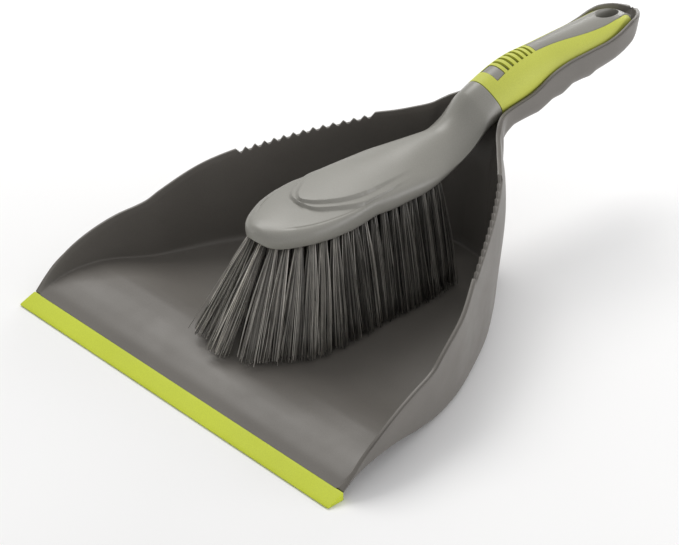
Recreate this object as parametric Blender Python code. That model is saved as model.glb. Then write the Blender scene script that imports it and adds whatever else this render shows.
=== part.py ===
"""Dustpan and brush: a moulded pan with a soft lip, and a hand brush that rests in the pan's handle.

Frame: origin at the middle of the footprint on the floor, X across the pan, -Y towards the lip,
+Y towards the handle's end, Z up. Lengths in the tables are millimetres, and a place along the
object is its distance from the lip's front edge.
"""

import math

import bmesh
import bpy
from mathutils import Vector

MM = 0.001
LENGTH = 325.0
LIP_WIDTH = 225.0
HEIGHT = 100.0
GAP = 0.3

# Pan
WALL = 2.2
FRONT_EDGE = 10.0
FRONT_THICKNESS = 3.2
TONGUE_REACH = 3.4
TONGUE_BOTTOM = 1.0
TONGUE_TOP = 1.9
TONGUE_HALF_WIDTH = 107.5
COMB_FIRST_PEAK = 124.2
COMB_LAST_PEAK = 174.7
COMB_TEETH = 13
COMB_PEAK_DROP = 0.8
COMB_VALLEY_DROP = 3.0

# Rim of the pan's wall: distance along the object, then half width or height.
RIM_X = [(10, 112.3), (16, 112.5), (30, 111.8), (50, 109.2), (70, 105.3), (85, 101.2), (100, 96.4),
         (120, 85.1), (177, 46), (192, 31), (200, 23), (205, 19.6), (210, 17.4), (217, 16.2),
         (226, 15.8), (262, 15.6), (290, 15.4), (301, 14.9), (309, 13.6), (315, 11.6), (319.5, 8.8),
         (322.5, 5.8), (324.3, 2.8)]
RIM_Z = [(10, 4.4), (16, 10), (22, 15.4), (30, 20.7), (40, 25.5), (50, 29.1), (60, 31.6), (70, 33.1),
         (75, 34.3), (82, 38), (90, 41.9), (100, 46.5), (110, 51), (120, 54.8), (150, 62.8), (172, 68),
         (178, 69.8), (185, 71.2), (192, 73.4), (199, 76.2), (203, 78.6), (207, 80.2), (212, 80.8),
         (222, 81.6), (231, 82.8), (238, 85), (245, 88), (252, 90), (262, 91.4), (275, 91.8),
         (288, 92.2), (297, 93.6), (305, 95.8), (311, 96.8), (318, 96.6), (324.3, 95.4)]
# Where wall and floor would meet if the corner were sharp: half width, and how far behind the rim.
BASE_X = [(10, 110.9), (20, 110.3), (31, 109.3), (45, 107.3), (58, 104.4), (72, 101), (84, 98.1),
          (95, 94.8), (103, 92), (125, 81.6), (144, 71), (159, 60.2), (177, 45), (185, 37.5), (189, 33),
          (192, 28.5), (194, 24), (196, 19.5), (198, 17), (200.5, 16), (203, 16), (206, 15.8),
          (212, 14.8), (222, 14.3), (262, 14.2), (294, 14), (303, 13.2), (310, 11.8), (316, 9),
          (321, 5.4), (324.3, 1.5)]
BASE_BACK = [(10, 0), (177, 0), (185, 0.3), (189, 1), (192, 2.5), (194, 3.6), (196, 3.4), (198, 2.9),
             (200.5, 2.3), (203, 1.9), (206, 1.8), (212, 1.2), (222, 0.3), (235, 0), (300, 0),
             (312, 1), (318, 1), (324.3, 0.4)]
BASE_DROP = [(10, 0), (192, 0), (194, 0.4), (196, 1), (198, 1.5), (200.5, 2.5), (203, 3), (206, 3),
             (210, 2), (215, 1), (222, 0.3), (235, 0), (324.3, 0)]
# Underside along the middle: floor with its sweeping hump, back wall, handle with finger waves, end.
MIDDLE_BACK = [(10, 0), (177, 0), (185, 1), (189, 3), (192, 4.5), (194, 5.3), (196, 5), (198, 4),
               (200.5, 3.2), (203, 2.8), (206, 3.4), (210, 3.6), (215, 3), (222, 1.2), (235, 0),
               (300, 0), (305, 0.6), (312, 2), (318, 2), (322, 1.3), (324.3, 0.7)]
MIDDLE_Z = [(10, 1), (14, 3.8), (20, 5.8), (27, 7.4), (35, 8), (43, 7.9), (50, 7), (57, 5.5), (64, 3.7),
            (71, 2.1), (79, 0.9), (88, 0.2), (96, 0), (192, 0), (194, 1.2), (196, 5), (198, 13),
            (200.5, 34), (203, 50), (206, 59.5), (210, 64), (215, 66.4), (222, 68), (232, 68),
            (238, 68), (244, 69.6), (250, 71.6), (256, 71.8), (260, 73.2), (265, 75), (271, 75),
            (277, 74.6), (282, 76), (289, 76.8), (297, 77.8), (303, 79), (308, 80.8), (312, 82.8),
            (316, 85.6), (319.5, 88.8), (322.5, 91.6), (324.3, 93.6)]
CORNER_RADIUS = [(10, 1), (20, 3), (60, 3.5), (100, 5), (150, 8), (185, 12), (196, 14), (206, 10),
                 (222, 9), (290, 8.5), (305, 6), (312, 4), (318, 2), (324.3, 0.8)]
WALL_BULGE = [(10, 0), (125, 0), (150, 1), (175, 2.6), (192, 3.3), (200, 3), (206, 1), (212, 0),
              (324.3, 0)]
PAN_RIBS = (10, 12, 15, 19, 24, 30, 38, 46, 54, 62, 69, 74, 80, 88, 98, 109, 120, 134, 148, 162, 174,
            178, 183, 187, 190, 192, 194, 196, 198, 200.5, 203, 206, 210, 215, 222, 230, 238, 245,
            251, 258, 265, 272, 280, 288, 296, 304, 309, 313, 317, 320.5, 322.8, 324.3)
PAN_FLOOR_STEPS = (0, 0.5)
PAN_CORNER_STEPS = 3
PAN_WALL_STEPS = 4

# Lip
LIP_BACK = FRONT_EDGE - GAP
LIP_TIP_HEIGHT = 0.6
LIP_BACK_HEIGHT = 4.0

# Brush body: half width, side height, crown, underside and the raised upper tier.
BRUSH_HALF = [(57.5, 0.6), (58.2, 4.2), (60, 8.4), (63.5, 12.5), (70, 16.6), (80, 20.6), (91, 22.5),
              (101, 22.8), (107, 22.3), (113, 21.6), (118, 21.3), (124, 21.8), (132, 22.3), (147, 22.3),
              (156, 21.5), (164, 20), (172, 18.2), (180, 16.4), (190, 14.8), (200, 13.6), (212, 12.9),
              (245, 12.7), (280, 12.4), (294, 11.9), (304, 10.6), (311, 8.6), (316, 6), (320, 2.4)]
BRUSH_CROWN = [(57.5, 68), (60, 70.2), (66, 71.2), (110, 71.8), (135, 74), (150, 75.4), (162, 76.2),
               (178, 76.4), (185, 77.4), (190, 79.4), (194, 82.2), (198, 86), (202, 89.4), (206, 91.4),
               (211, 93.2), (217, 95.2), (224, 97.4), (232, 99.2), (240, 100), (300, 100), (305, 99.4),
               (310, 98), (314.5, 95.8), (318, 93.6), (320, 92.8)]
BRUSH_UNDER = [(57.5, 64), (60, 62.2), (64, 61.5), (80, 61.2), (95, 60.7), (110, 60.5), (118, 61),
               (128, 60.5), (168, 60.5), (178, 61.4), (186, 63.6), (193, 66.8), (200, 70), (207, 71.8),
               (216, 73), (228, 73.8), (240, 74.6), (252, 76.4), (265, 79), (280, 79.8), (290, 81.4),
               (300, 83.2), (307, 85.4), (313, 88.2), (317, 90.2), (320, 91.8)]
# Share of the height, from the underside, at which the side is widest.
BRUSH_WAIST = [(57.5, 0.5), (64, 0.42), (150, 0.4), (180, 0.44), (205, 0.48), (230, 0.52), (320, 0.52)]
# Half widths of the flat underside and of the top face, as shares of the half width.
BRUSH_FLAT = [(57.5, 0.9), (150, 0.88), (178, 0.55), (205, 0.4), (320, 0.4)]
BRUSH_TOP = [(57.5, 0.5), (60, 0.52), (64, 0.6), (70, 0.7), (80, 0.8), (90, 0.85), (100, 0.89),
             (115, 0.9), (130, 0.84), (150, 0.77), (165, 0.72), (180, 0.65), (200, 0.62), (224, 0.62),
             (250, 0.62), (266, 0.66), (288, 0.74), (303, 0.8), (320, 0.8)]
BRUSH_EDGE_DROP = [(57.5, 0.3), (60, 0.6), (66, 1), (100, 1.6), (118, 2.4), (135, 3.6), (150, 4.8),
                   (162, 5.6), (175, 5.4), (188, 5), (205, 4.2), (222, 3.7), (240, 3.6), (262, 3.7),
                   (284, 3.8), (294, 3.6), (304, 3), (311, 2.2), (317, 1.2), (320, 0.3)]
TIER_HALF = [(84, 0.5), (86.6, 4), (89.4, 8), (94, 12), (100, 15.2), (107, 17), (114, 17.6),
             (124, 17.4), (140, 16)]
TIER_HEIGHT = [(84, 0), (86.4, 2.4), (89, 3.5), (112, 3), (130, 1.2), (150, 0), (320, 0)]
# Sections tilt to stand square to the rising handle: how far one moves forward per unit of height.
SECTION_LEAN = [(57.5, 0), (172, 0), (190, 0.3), (205, 0.38), (250, 0.16), (285, 0), (305, -0.16),
                (320, -0.1)]
BRUSH_STATIONS = (57.5, 58.2, 60, 63.5, 70, 77, 83, 86.6, 90, 95, 101, 107, 113, 119, 126, 138, 152, 163,
                  172, 180, 186, 191, 196, 201, 206)

# Grip
GRIP_START = 211.0
COLLAR_END = 218.0
GRIP_END = 316.0
GRIP_THICKNESS = 1.7
CORE_DEPTH = GRIP_THICKNESS + GAP
INLAY_DEPTH = 0.0
RIB_START = 224.0
RIB_COUNT = 7
RIB_PITCH = 3.4
RIB_WIDTH = 1.9
RIBS_END = RIB_START + (RIB_COUNT - 1) * RIB_PITCH + RIB_WIDTH
GRIP_STATIONS = (251, 257, 264, 271, 278, 285, 291, 297.5, 303, 308, 312.5)
WINDOW_HALF = [(205, 6.4), (216, 6.2), (224, 5.7), (240, 4.8), (248, 4.2), (255, 4.3), (264, 5),
               (274, 6.2), (284, 7.2), (294, 7.6), (303, 7), (310, 5.2), (316, 3.4)]
HANG_HOLE_AT = 303.5
HANG_HOLE_HALF_LENGTH = 7.4
HANG_HOLE_HALF_WIDTH = 3.9

# Bristle tufts
TUFT_SIDES = 6
TUFT_PITCH = 6.5
TUFT_INSET = 5.0
TUFT_SIDE_COUNT = 17
TUFT_INNER_COUNT = 15
TUFT_INNER_START = 69.0
TUFT_INNER_HALF = 5.2
TUFT_HOLE_DEPTH = 7.0
TUFT_HOLE_RADIUS = 1.9
TUFT_ROOT_RADIUS = 1.55
TUFT_TIP_RADIUS = 2.7
TUFT_FLOOR_GAP = 0.8
TUFT_SPLAY = [(57, 13), (80, 11.5), (100, 9), (170, 9)]
TUFT_FORWARD = [(57, 20), (66, 17), (73, 12.7), (80, 9), (90, 5), (105, 0), (170, 0)]


def smooth(points, at):
    """A monotone cubic through the points: it never overshoots between two of them."""
    count = len(points)
    if at <= points[0][0]:
        return points[0][1]
    if at >= points[-1][0]:
        return points[-1][1]
    steps = [points[i + 1][0] - points[i][0] for i in range(count - 1)]
    slopes = [(points[i + 1][1] - points[i][1]) / steps[i] for i in range(count - 1)]
    tangents = [slopes[0]]
    for i in range(1, count - 1):
        if slopes[i - 1] * slopes[i] <= 0:
            tangents.append(0.0)
            continue
        before = 2 * steps[i] + steps[i - 1]
        after = steps[i] + 2 * steps[i - 1]
        tangents.append((before + after) / (before / slopes[i - 1] + after / slopes[i]))
    tangents.append(slopes[-1])
    i = max(k for k in range(count - 1) if points[k][0] <= at)
    t = (at - points[i][0]) / steps[i]
    rest = 1 - t
    return (points[i][1] * rest * rest * (1 + 2 * t) + points[i + 1][1] * t * t * (3 - 2 * t)
            + steps[i] * t * rest * (tangents[i] * rest - tangents[i + 1] * t))


def place(x, along, z):
    """Metres in the object's frame, from a half width, a distance from the lip's edge and a height."""
    return Vector((x * MM, (along - LENGTH / 2) * MM, z * MM))


def material(name, colour, roughness):
    made = bpy.data.materials.new(name)
    made.use_nodes = True
    shader = made.node_tree.nodes["Principled BSDF"]
    shader.inputs["Base Color"].default_value = (*colour, 1)
    shader.inputs["Roughness"].default_value = roughness
    shader.inputs["Metallic"].default_value = 0
    return made


def add_object(name, points, faces, finish=None, parent=None):
    """A mesh object whose faces point outwards; without a finish it is a cutter."""
    mesh = bpy.data.meshes.new(name)
    mesh.from_pydata(points, [], faces)
    work = bmesh.new()
    work.from_mesh(mesh)
    bmesh.ops.remove_doubles(work, verts=work.verts, dist=1e-6)
    bmesh.ops.recalc_face_normals(work, faces=work.faces)
    work.to_mesh(mesh)
    work.free()
    made = bpy.data.objects.new(name, mesh)
    bpy.context.scene.collection.objects.link(made)
    if parent:
        made.parent = parent
    if finish:
        mesh.materials.append(finish)
        mesh.shade_smooth()
        mesh.set_sharp_from_angle(angle=math.radians(40))
    else:
        made.hide_render = True
        made.display_type = "WIRE"
    return made


def cut(target, cutter):
    modifier = target.modifiers.new("cut " + cutter.name, "BOOLEAN")
    modifier.operation = "DIFFERENCE"
    modifier.solver = "EXACT"
    modifier.object = cutter


def loft(rings, closed_ends=True):
    """Points and faces of a tube through closed rings of equal length."""
    points = [point for ring in rings for point in ring]
    size = len(rings[0])
    faces = []
    for k in range(len(rings) - 1):
        for j in range(size):
            after = (j + 1) % size
            faces.append((k * size + j, k * size + after, (k + 1) * size + after, (k + 1) * size + j))
    if closed_ends:
        faces.append(tuple(range(size)))
        last = (len(rings) - 1) * size
        faces.append(tuple(range(last, last + size)))
    return points, faces


# ---- Pan ----


def pan_thickness(at):
    return smooth([(FRONT_EDGE, FRONT_THICKNESS), (14, WALL), (LENGTH, WALL)], at)


def middle_line(at):
    return Vector((0, at + smooth(MIDDLE_BACK, at), smooth(MIDDLE_Z, at)))


def rim_point(at):
    return Vector((smooth(RIM_X, at), at, smooth(RIM_Z, at)))


def outward(at):
    """The rim's outward direction, seen from above."""
    run = rim_point(at + 0.4) - rim_point(at - 0.4)
    return Vector((run.y, -run.x, 0)).normalized()


def floor_normal(at):
    """The direction into the pan, square to its middle line."""
    run = middle_line(at + 0.4) - middle_line(at - 0.4)
    return Vector((0, -run.z, run.y)).normalized()


def half_section(middle, base, rim, radius, bulge_way, bulge):
    """From the middle of the floor round the corner and up to the rim."""
    inward = middle - base
    upward = rim - base
    radius = min(radius, 0.45 * inward.length, 0.45 * upward.length)
    corner_start = base + inward.normalized() * radius
    corner_end = base + upward.normalized() * radius
    points = [middle.lerp(corner_start, step) for step in PAN_FLOOR_STEPS]
    for step in range(PAN_CORNER_STEPS + 1):
        t = step / PAN_CORNER_STEPS
        points.append(corner_start.lerp(base, t).lerp(base.lerp(corner_end, t), t))
    for step in range(1, PAN_WALL_STEPS + 1):
        t = step / PAN_WALL_STEPS
        height = (radius + (upward.length - radius) * t) / upward.length
        push = bulge * math.sin(math.pi * height ** 1.6)
        points.append(corner_end.lerp(rim, t) + bulge_way * push)
    return points


def mirrored(half):
    """A whole section, from the left rim to the right one."""
    return [Vector((-p.x, p.y, p.z)) for p in reversed(half[1:])] + half


def pan_section(at, inner):
    middle = middle_line(at)
    rim = rim_point(at)
    base = Vector((smooth(BASE_X, at), at + smooth(BASE_BACK, at), middle.z - smooth(BASE_DROP, at)))
    radius = smooth(CORNER_RADIUS, at)
    way = outward(at)
    if inner:
        thick = pan_thickness(at)
        up = floor_normal(at)
        base = base + (up - way) * (thick / (1 - up.dot(way)))
        middle = middle + up * thick
        rim = rim - way * WALL
        radius = max(0.8, radius - thick)
        base.z = min(base.z, rim.z - 0.15)
    return mirrored(half_section(middle, base, rim, radius, way, smooth(WALL_BULGE, at)))


def tongue_section(along, z, template):
    squeeze = TONGUE_HALF_WIDTH / max(p.x for p in template)
    return [Vector((p.x * squeeze, along, z)) for p in template]


def make_pan(finish):
    outer = [pan_section(at, False) for at in PAN_RIBS]
    inner = [pan_section(at, True) for at in PAN_RIBS]
    for section in outer[:1] + inner[:1]:
        for point in section:
            point.y = FRONT_EDGE
    for along in (FRONT_EDGE, FRONT_EDGE - TONGUE_REACH):
        outer.insert(0, tongue_section(along, TONGUE_BOTTOM + 0.2, outer[-len(PAN_RIBS)]))
        inner.insert(0, tongue_section(along, TONGUE_TOP, inner[-len(PAN_RIBS)]))
    rings = [under + over[::-1] for under, over in zip(outer, inner)]
    points, faces = loft(rings, closed_ends=False)
    size = len(rings[0])
    half = size // 2
    for start in (0, (len(rings) - 1) * size):
        for j in range(half - 1):
            faces.append((start + j, start + j + 1, start + size - 2 - j, start + size - 1 - j))
    pan = add_object("pan_body", [place(*p) for p in points], faces, finish)
    for side, way in (("right", 1), ("left", -1)):
        cut(pan, comb_cutter("comb_cutter_" + side, way))
    return pan


def comb_cutter(name, way):
    """A zigzag blade across the rim. Its two end corners stay above the rim."""
    across = outward((COMB_FIRST_PEAK + COMB_LAST_PEAK) / 2) * (2 * WALL)
    pitch = (COMB_LAST_PEAK - COMB_FIRST_PEAK) / (COMB_TEETH - 1)
    last = 2 * COMB_TEETH + 2
    low = []
    for k in range(last + 1):
        corner = rim_point(COMB_FIRST_PEAK + (k / 2 - 1) * pitch)
        if k in (0, last):
            corner.z += 0.2
        else:
            corner.z -= COMB_PEAK_DROP if k % 2 == 0 else COMB_VALLEY_DROP
        low.append(corner)
    high = [Vector((low[-1].x, low[-1].y, low[-1].z + 6)), Vector((low[0].x, low[0].y, low[0].z + 18))]
    rings = []
    for shift in (across, -1.5 * across):
        rings.append([place(way * (p.x + shift.x), p.y + shift.y, p.z) for p in low + high])
    points, faces = loft(rings)
    return add_object(name, points, faces)


def make_lip(finish):
    profile = [(0.4, 0), (0, 0.3), (0.3, LIP_TIP_HEIGHT), (LIP_BACK, LIP_BACK_HEIGHT), (LIP_BACK, 0)]
    rings = [[place(x, along, z) for along, z in profile] for x in (-LIP_WIDTH / 2, LIP_WIDTH / 2)]
    points, faces = loft(rings)
    lip = add_object("pan_lip", points, faces, finish)
    front = FRONT_EDGE - TONGUE_REACH - GAP
    pocket = [(front, TONGUE_BOTTOM + 0.2 - GAP), (front, TONGUE_TOP + GAP), (LIP_BACK + 2, TONGUE_TOP + GAP),
              (LIP_BACK + 2, TONGUE_BOTTOM + 0.2 - GAP)]
    reach = TONGUE_HALF_WIDTH + GAP
    rings = [[place(x, along, z) for along, z in pocket] for x in (-reach, reach)]
    points, faces = loft(rings)
    cut(lip, add_object("lip_pocket_cutter", points, faces))
    return lip


# ---- Brush ----


def crown_height(at, x):
    """The top face at a given distance from the middle: it falls towards its edge."""
    edge = smooth(BRUSH_TOP, at) * smooth(BRUSH_HALF, at)
    share = min(1.0, abs(x) / edge)
    return smooth(BRUSH_CROWN, at) - smooth(BRUSH_EDGE_DROP, at) * share ** 2


def side_curve(at, steps):
    """From the edge of the flat underside round the side to the edge of the top face."""
    half = smooth(BRUSH_HALF, at)
    low = smooth(BRUSH_UNDER, at)
    top_edge = smooth(BRUSH_TOP, at) * half
    top_z = crown_height(at, top_edge)
    flat = smooth(BRUSH_FLAT, at) * half
    waist = low + (top_z - low) * smooth(BRUSH_WAIST, at)
    shoulder = max(waist, top_z - 2 * smooth(BRUSH_EDGE_DROP, at) / top_edge * (half - top_edge))
    points = []
    for step in range(steps + 1):
        turn = math.pi / 2 * step / steps
        points.append((flat + (half - flat) * math.sin(turn), waist - (waist - low) * math.cos(turn)))
    for step in range(1, steps + 1):
        t = step / steps
        rest = 1 - t
        points.append((half * (1 - t * t) + top_edge * t * t,
                       waist * rest * rest + 2 * shoulder * rest * t + top_z * t * t))
    return points


def brush_section(at, depth=0.0, window=None):
    """One closed ring. The depth sinks everything but the window, which has its own depth or none."""
    side = side_curve(at, 3)
    half_points = [(0, side[0][1]), (side[0][0] * 0.6, side[0][1])] + side
    top_edge = side[-1][0]
    if depth:
        centre_z = (smooth(BRUSH_CROWN, at) + smooth(BRUSH_UNDER, at)) / 2
        half_points = [sunk(p, centre_z, smooth(BRUSH_HALF, at), depth) for p in half_points]
    if window is None and not depth:
        tier = min(smooth(TIER_HALF, at), 0.84 * top_edge)
        foot = min(tier + 0.9, 0.94 * top_edge)
        rise = smooth(TIER_HEIGHT, at)
        half_points.append((foot, crown_height(at, foot)))
        for x, share in ((tier, 0.75), (tier * 0.86, 1.0), (tier * 0.45, 1.0), (0, 1.0)):
            half_points.append((x, crown_height(at, x) + rise * share))
    else:
        edge = smooth(WINDOW_HALF, at) - GAP
        lift = depth if window is None else window
        half_points.append((edge, crown_height(at, edge) - depth))
        for x in (edge, edge * 0.75, edge * 0.4, 0):
            half_points.append((x - (0.02 if x == edge else 0), crown_height(at, x) - lift))
    return leaning_ring(half_points, at)


def sunk(point, centre_z, half, depth):
    """A side or underside point moved inwards, square to an ellipse through it."""
    x, z = point
    lean = Vector((x / half ** 2, (z - centre_z) / (half * 0.6) ** 2))
    if lean.length == 0:
        return point
    lean.normalize()
    return (x - lean.x * depth, z - lean.y * depth)


def leaning_ring(half_points, at):
    middle = (smooth(BRUSH_CROWN, at) + smooth(BRUSH_UNDER, at)) / 2
    lean = smooth(SECTION_LEAN, at)
    right = [(x, at - lean * (z - middle), z) for x, z in half_points]
    left = [(-x, along, z) for x, along, z in reversed(right[1:-1])]
    return [place(*p) for p in right + left]


def rib_edges():
    return [(RIB_START + k * RIB_PITCH, RIB_START + k * RIB_PITCH + RIB_WIDTH) for k in range(RIB_COUNT)]


def make_lift():
    """The brush lifts straight out of the pan: everything on it hangs from this empty."""
    lift = bpy.data.objects.new("brush_lift", None)
    bpy.context.scene.collection.objects.link(lift)
    return lift


def make_brush_body(finish, tufts, lift):
    rings = [brush_section(at) for at in BRUSH_STATIONS]
    shoulder = GRIP_START - GAP
    rings.append(brush_section(shoulder))
    sunk_part = [shoulder, COLLAR_END + GAP]
    rings += [brush_section(at, CORE_DEPTH) for at in sunk_part]
    inlay = (COLLAR_END + GAP, RIB_START - GAP)
    rings += [brush_section(at, CORE_DEPTH, INLAY_DEPTH) for at in inlay]
    rings += [brush_section(at, CORE_DEPTH) for at in (RIB_START - GAP, 231, 239, RIBS_END + GAP)]
    strip = (RIBS_END + GAP,) + GRIP_STATIONS + (GRIP_END + GAP,)
    rings += [brush_section(at, CORE_DEPTH, INLAY_DEPTH) for at in strip]
    rings += [brush_section(at) for at in (GRIP_END + GAP, 318, 319.3, 320)]
    points, faces = loft(rings)
    body = add_object("brush_body", points, faces, finish, lift)
    cut(body, hang_hole_cutter("hang_hole_cutter", 0.0, lift))
    cut(body, tuft_hole_cutter(tufts, lift))
    return body


def make_grip(finish, lift):
    """A sleeve of cells round the handle. Cells over the window are solid only in the collar and the ribs."""
    stations = [GRIP_START, GRIP_START + 0.8, COLLAR_END]
    for start, end in rib_edges():
        stations += [start, end]
    stations += list(GRIP_STATIONS) + [GRIP_END]
    bridged = [(GRIP_START, COLLAR_END)] + rib_edges()
    outer = [grip_ring(at, 0.6 if at == GRIP_START else 0.0) for at in stations]
    inner = [grip_ring(at, GRIP_THICKNESS) for at in stations]
    size = len(outer[0])
    layer = len(stations) * size
    side_count = (size - 4) // 2
    top = set(range(side_count, side_count + 4))

    def solid(k, j):
        if not 0 <= k < len(stations) - 1:
            return False
        if j not in top:
            return True
        return any(start <= stations[k] and stations[k + 1] <= end for start, end in bridged)

    faces = []
    for k in range(len(stations) - 1):
        for j in range(size):
            if not solid(k, j):
                continue
            after = (j + 1) % size
            a, b, c, d = k * size + j, k * size + after, (k + 1) * size + after, (k + 1) * size + j
            faces += [(a, b, c, d), (a + layer, d + layer, c + layer, b + layer)]
            if not solid(k - 1, j):
                faces.append((a, a + layer, b + layer, b))
            if not solid(k + 1, j):
                faces.append((d, c, c + layer, d + layer))
            if not solid(k, (j - 1) % size):
                faces.append((a, d, d + layer, a + layer))
            if not solid(k, after):
                faces.append((b, b + layer, c + layer, c))
    points = [p for ring in outer + inner for p in ring]
    grip = add_object("brush_grip", points, faces, finish, lift)
    cut(grip, hang_hole_cutter("grip_hole_cutter", 0.6, lift))
    return grip


def grip_ring(at, depth):
    """A ring of the handle's surface at a depth, with points on both edges of the window."""
    side = side_curve(at, 3)
    edge = smooth(WINDOW_HALF, at)
    half_points = [(0, side[0][1]), (side[0][0] * 0.6, side[0][1])] + side
    centre_z = (smooth(BRUSH_CROWN, at) + smooth(BRUSH_UNDER, at)) / 2
    if depth:
        half_points = [sunk(p, centre_z, smooth(BRUSH_HALF, at), depth) for p in half_points]
    for x in (edge, edge * 0.5, 0):
        half_points.append((x, crown_height(at, x) - depth))
    return leaning_ring(half_points, at)


def hang_hole_cutter(name, extra, lift):
    rings = []
    for z in (80, 104):
        ring = []
        for k in range(16):
            turn = 2 * math.pi * k / 16
            ring.append(place((HANG_HOLE_HALF_WIDTH + extra) * math.cos(turn),
                              HANG_HOLE_AT + (HANG_HOLE_HALF_LENGTH + extra) * math.sin(turn), z))
        rings.append(ring)
    points, faces = loft(rings)
    return add_object(name, points, faces, parent=lift)


# ---- Tufts ----


def loop_point(at):
    """The outer row of tufts follows the head's outline, set in from it."""
    return Vector((max(0.0, smooth(BRUSH_HALF, at) - TUFT_INSET), at))


def outer_row():
    """Roots of the outer row on the right, spaced evenly along it from the nose, as (x, along)."""
    trail = [Vector((0, 63.0))] + [loop_point(62.2 + 0.25 * k) for k in range(6, 460)]
    found = [trail[0]]
    travelled = 0.0
    for before, after in zip(trail, trail[1:]):
        travelled += (after - before).length
        if travelled >= TUFT_PITCH * len(found):
            found.append(after)
        if len(found) == TUFT_SIDE_COUNT + 1:
            break
    return found


def outline_normal(root):
    if root.x == 0:
        return Vector((0, -1))
    run = loop_point(root.y + 0.5) - loop_point(root.y - 0.5)
    return Vector((run.y, -run.x)).normalized()


def tuft_line(root, out_way, splay):
    """Root and tip of a tuft: the tip leans outwards, and forwards near the nose."""
    forward = smooth(TUFT_FORWARD, root.y)
    tip = root + out_way * splay + Vector((0, -forward))
    floor = smooth(MIDDLE_Z, tip.y) + pan_thickness(tip.y)
    return (Vector((root.x, root.y, smooth(BRUSH_UNDER, 100))),
            Vector((tip.x, tip.y, floor + TUFT_FLOOR_GAP)))


def all_tufts():
    """Name, root and tip of every tuft."""
    tufts = []
    roots = outer_row()
    tufts.append(("tuft_nose", *tuft_line(roots[0], Vector((0, -1)), smooth(TUFT_SPLAY, 57))))
    for number, root in enumerate(roots[1:], 1):
        way = outline_normal(root)
        splay = smooth(TUFT_SPLAY, root.y)
        for side, sign in (("right", 1), ("left", -1)):
            flipped = Vector((sign * root.x, root.y))
            tufts.append((f"tuft_{side}_{number:02d}",
                          *tuft_line(flipped, Vector((sign * way.x, way.y)), splay)))
    for number in range(TUFT_INNER_COUNT):
        sign = 1 if number % 2 == 0 else -1
        root = Vector((sign * TUFT_INNER_HALF, TUFT_INNER_START + TUFT_PITCH * number))
        tufts.append((f"tuft_inner_{number + 1:02d}", *tuft_line(root, Vector((sign, 0)), 3.2)))
    return tufts


def ring_about(centre, way, radius, level=None):
    """A ring round a line: square to it, or cut level at a height."""
    side = way.cross(Vector((0, 1, 0))).normalized()
    other = way.cross(side).normalized()
    ring = []
    for k in range(TUFT_SIDES):
        turn = 2 * math.pi * (k + 0.5) / TUFT_SIDES
        point = centre + (side * math.cos(turn) + other * math.sin(turn)) * radius
        if level is not None:
            point = point + way * ((level - point.z) / way.z)
        ring.append(place(*point))
    return ring


def make_tuft(name, root, tip, finish, lift):
    way = (tip - root).normalized()
    length = (tip - root).length
    top = root - way * (TUFT_HOLE_DEPTH - GAP)
    rings = [ring_about(top, way, TUFT_ROOT_RADIUS), ring_about(root, way, TUFT_ROOT_RADIUS),
             ring_about(root + way * length * 0.5, way, (TUFT_ROOT_RADIUS + TUFT_TIP_RADIUS) / 2),
             ring_about(tip, way, TUFT_TIP_RADIUS, level=tip.z)]
    points, faces = loft(rings)
    return add_object(name, points, faces, finish, lift)


def tuft_hole_cutter(tufts, lift):
    points = []
    faces = []
    for name, root, tip in tufts:
        way = (tip - root).normalized()
        rings = [ring_about(root - way * TUFT_HOLE_DEPTH, way, TUFT_HOLE_RADIUS),
                 ring_about(root + way * 3, way, TUFT_HOLE_RADIUS)]
        more, sides = loft(rings)
        faces += [tuple(i + len(points) for i in face) for face in sides]
        points += more
    return add_object("tuft_hole_cutter", points, faces, parent=lift)


def main():
    for old in list(bpy.data.objects):
        bpy.data.objects.remove(old, do_unlink=True)
    pan_plastic = material("pan_plastic", (0.16, 0.153, 0.14), 0.42)
    lip_rubber = material("lip_rubber", (0.56, 0.63, 0.07), 0.5)
    brush_plastic = material("brush_plastic", (0.25, 0.243, 0.218), 0.36)
    grip_rubber = material("grip_rubber", (0.5, 0.54, 0.07), 0.5)
    bristle = material("bristle", (0.19, 0.18, 0.165), 0.5)
    tufts = all_tufts()
    lift = make_lift()
    make_pan(pan_plastic)
    make_lip(lip_rubber)
    make_brush_body(brush_plastic, tufts, lift)
    make_grip(grip_rubber, lift)
    for name, root, tip in tufts:
        make_tuft(name, root, tip, bristle, lift)


main()
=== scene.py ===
"""The looks of the dustpan and brush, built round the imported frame.

Frame: origin at the middle of the footprint on the floor, X across the pan, -Y towards the lip,
+Y towards the handle's end, Z up. Lengths in the tables are millimetres, and a place along the
object is its distance from the lip's front edge, as in the CAD.
"""

import math
import random

import bmesh
import bpy
import numpy as np
from mathutils import Matrix, Vector


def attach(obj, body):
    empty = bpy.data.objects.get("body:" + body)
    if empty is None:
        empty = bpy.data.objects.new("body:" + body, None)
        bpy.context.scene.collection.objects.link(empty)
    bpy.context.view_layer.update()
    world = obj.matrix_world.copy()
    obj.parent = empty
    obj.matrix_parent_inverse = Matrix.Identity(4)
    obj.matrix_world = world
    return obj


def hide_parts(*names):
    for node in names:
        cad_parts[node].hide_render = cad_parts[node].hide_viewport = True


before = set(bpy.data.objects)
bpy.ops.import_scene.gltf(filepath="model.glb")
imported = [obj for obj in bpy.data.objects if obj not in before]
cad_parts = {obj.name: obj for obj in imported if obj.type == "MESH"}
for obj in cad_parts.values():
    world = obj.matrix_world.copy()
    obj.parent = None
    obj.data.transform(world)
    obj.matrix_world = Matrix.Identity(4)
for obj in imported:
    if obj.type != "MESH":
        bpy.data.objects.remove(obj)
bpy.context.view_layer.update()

MM = 0.001
LENGTH = 325.0
SEED = 20
WELD_DISTANCE = 1e-6
SHARP_ANGLE = math.radians(35)

# ---- Shape of the pan ----

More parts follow.
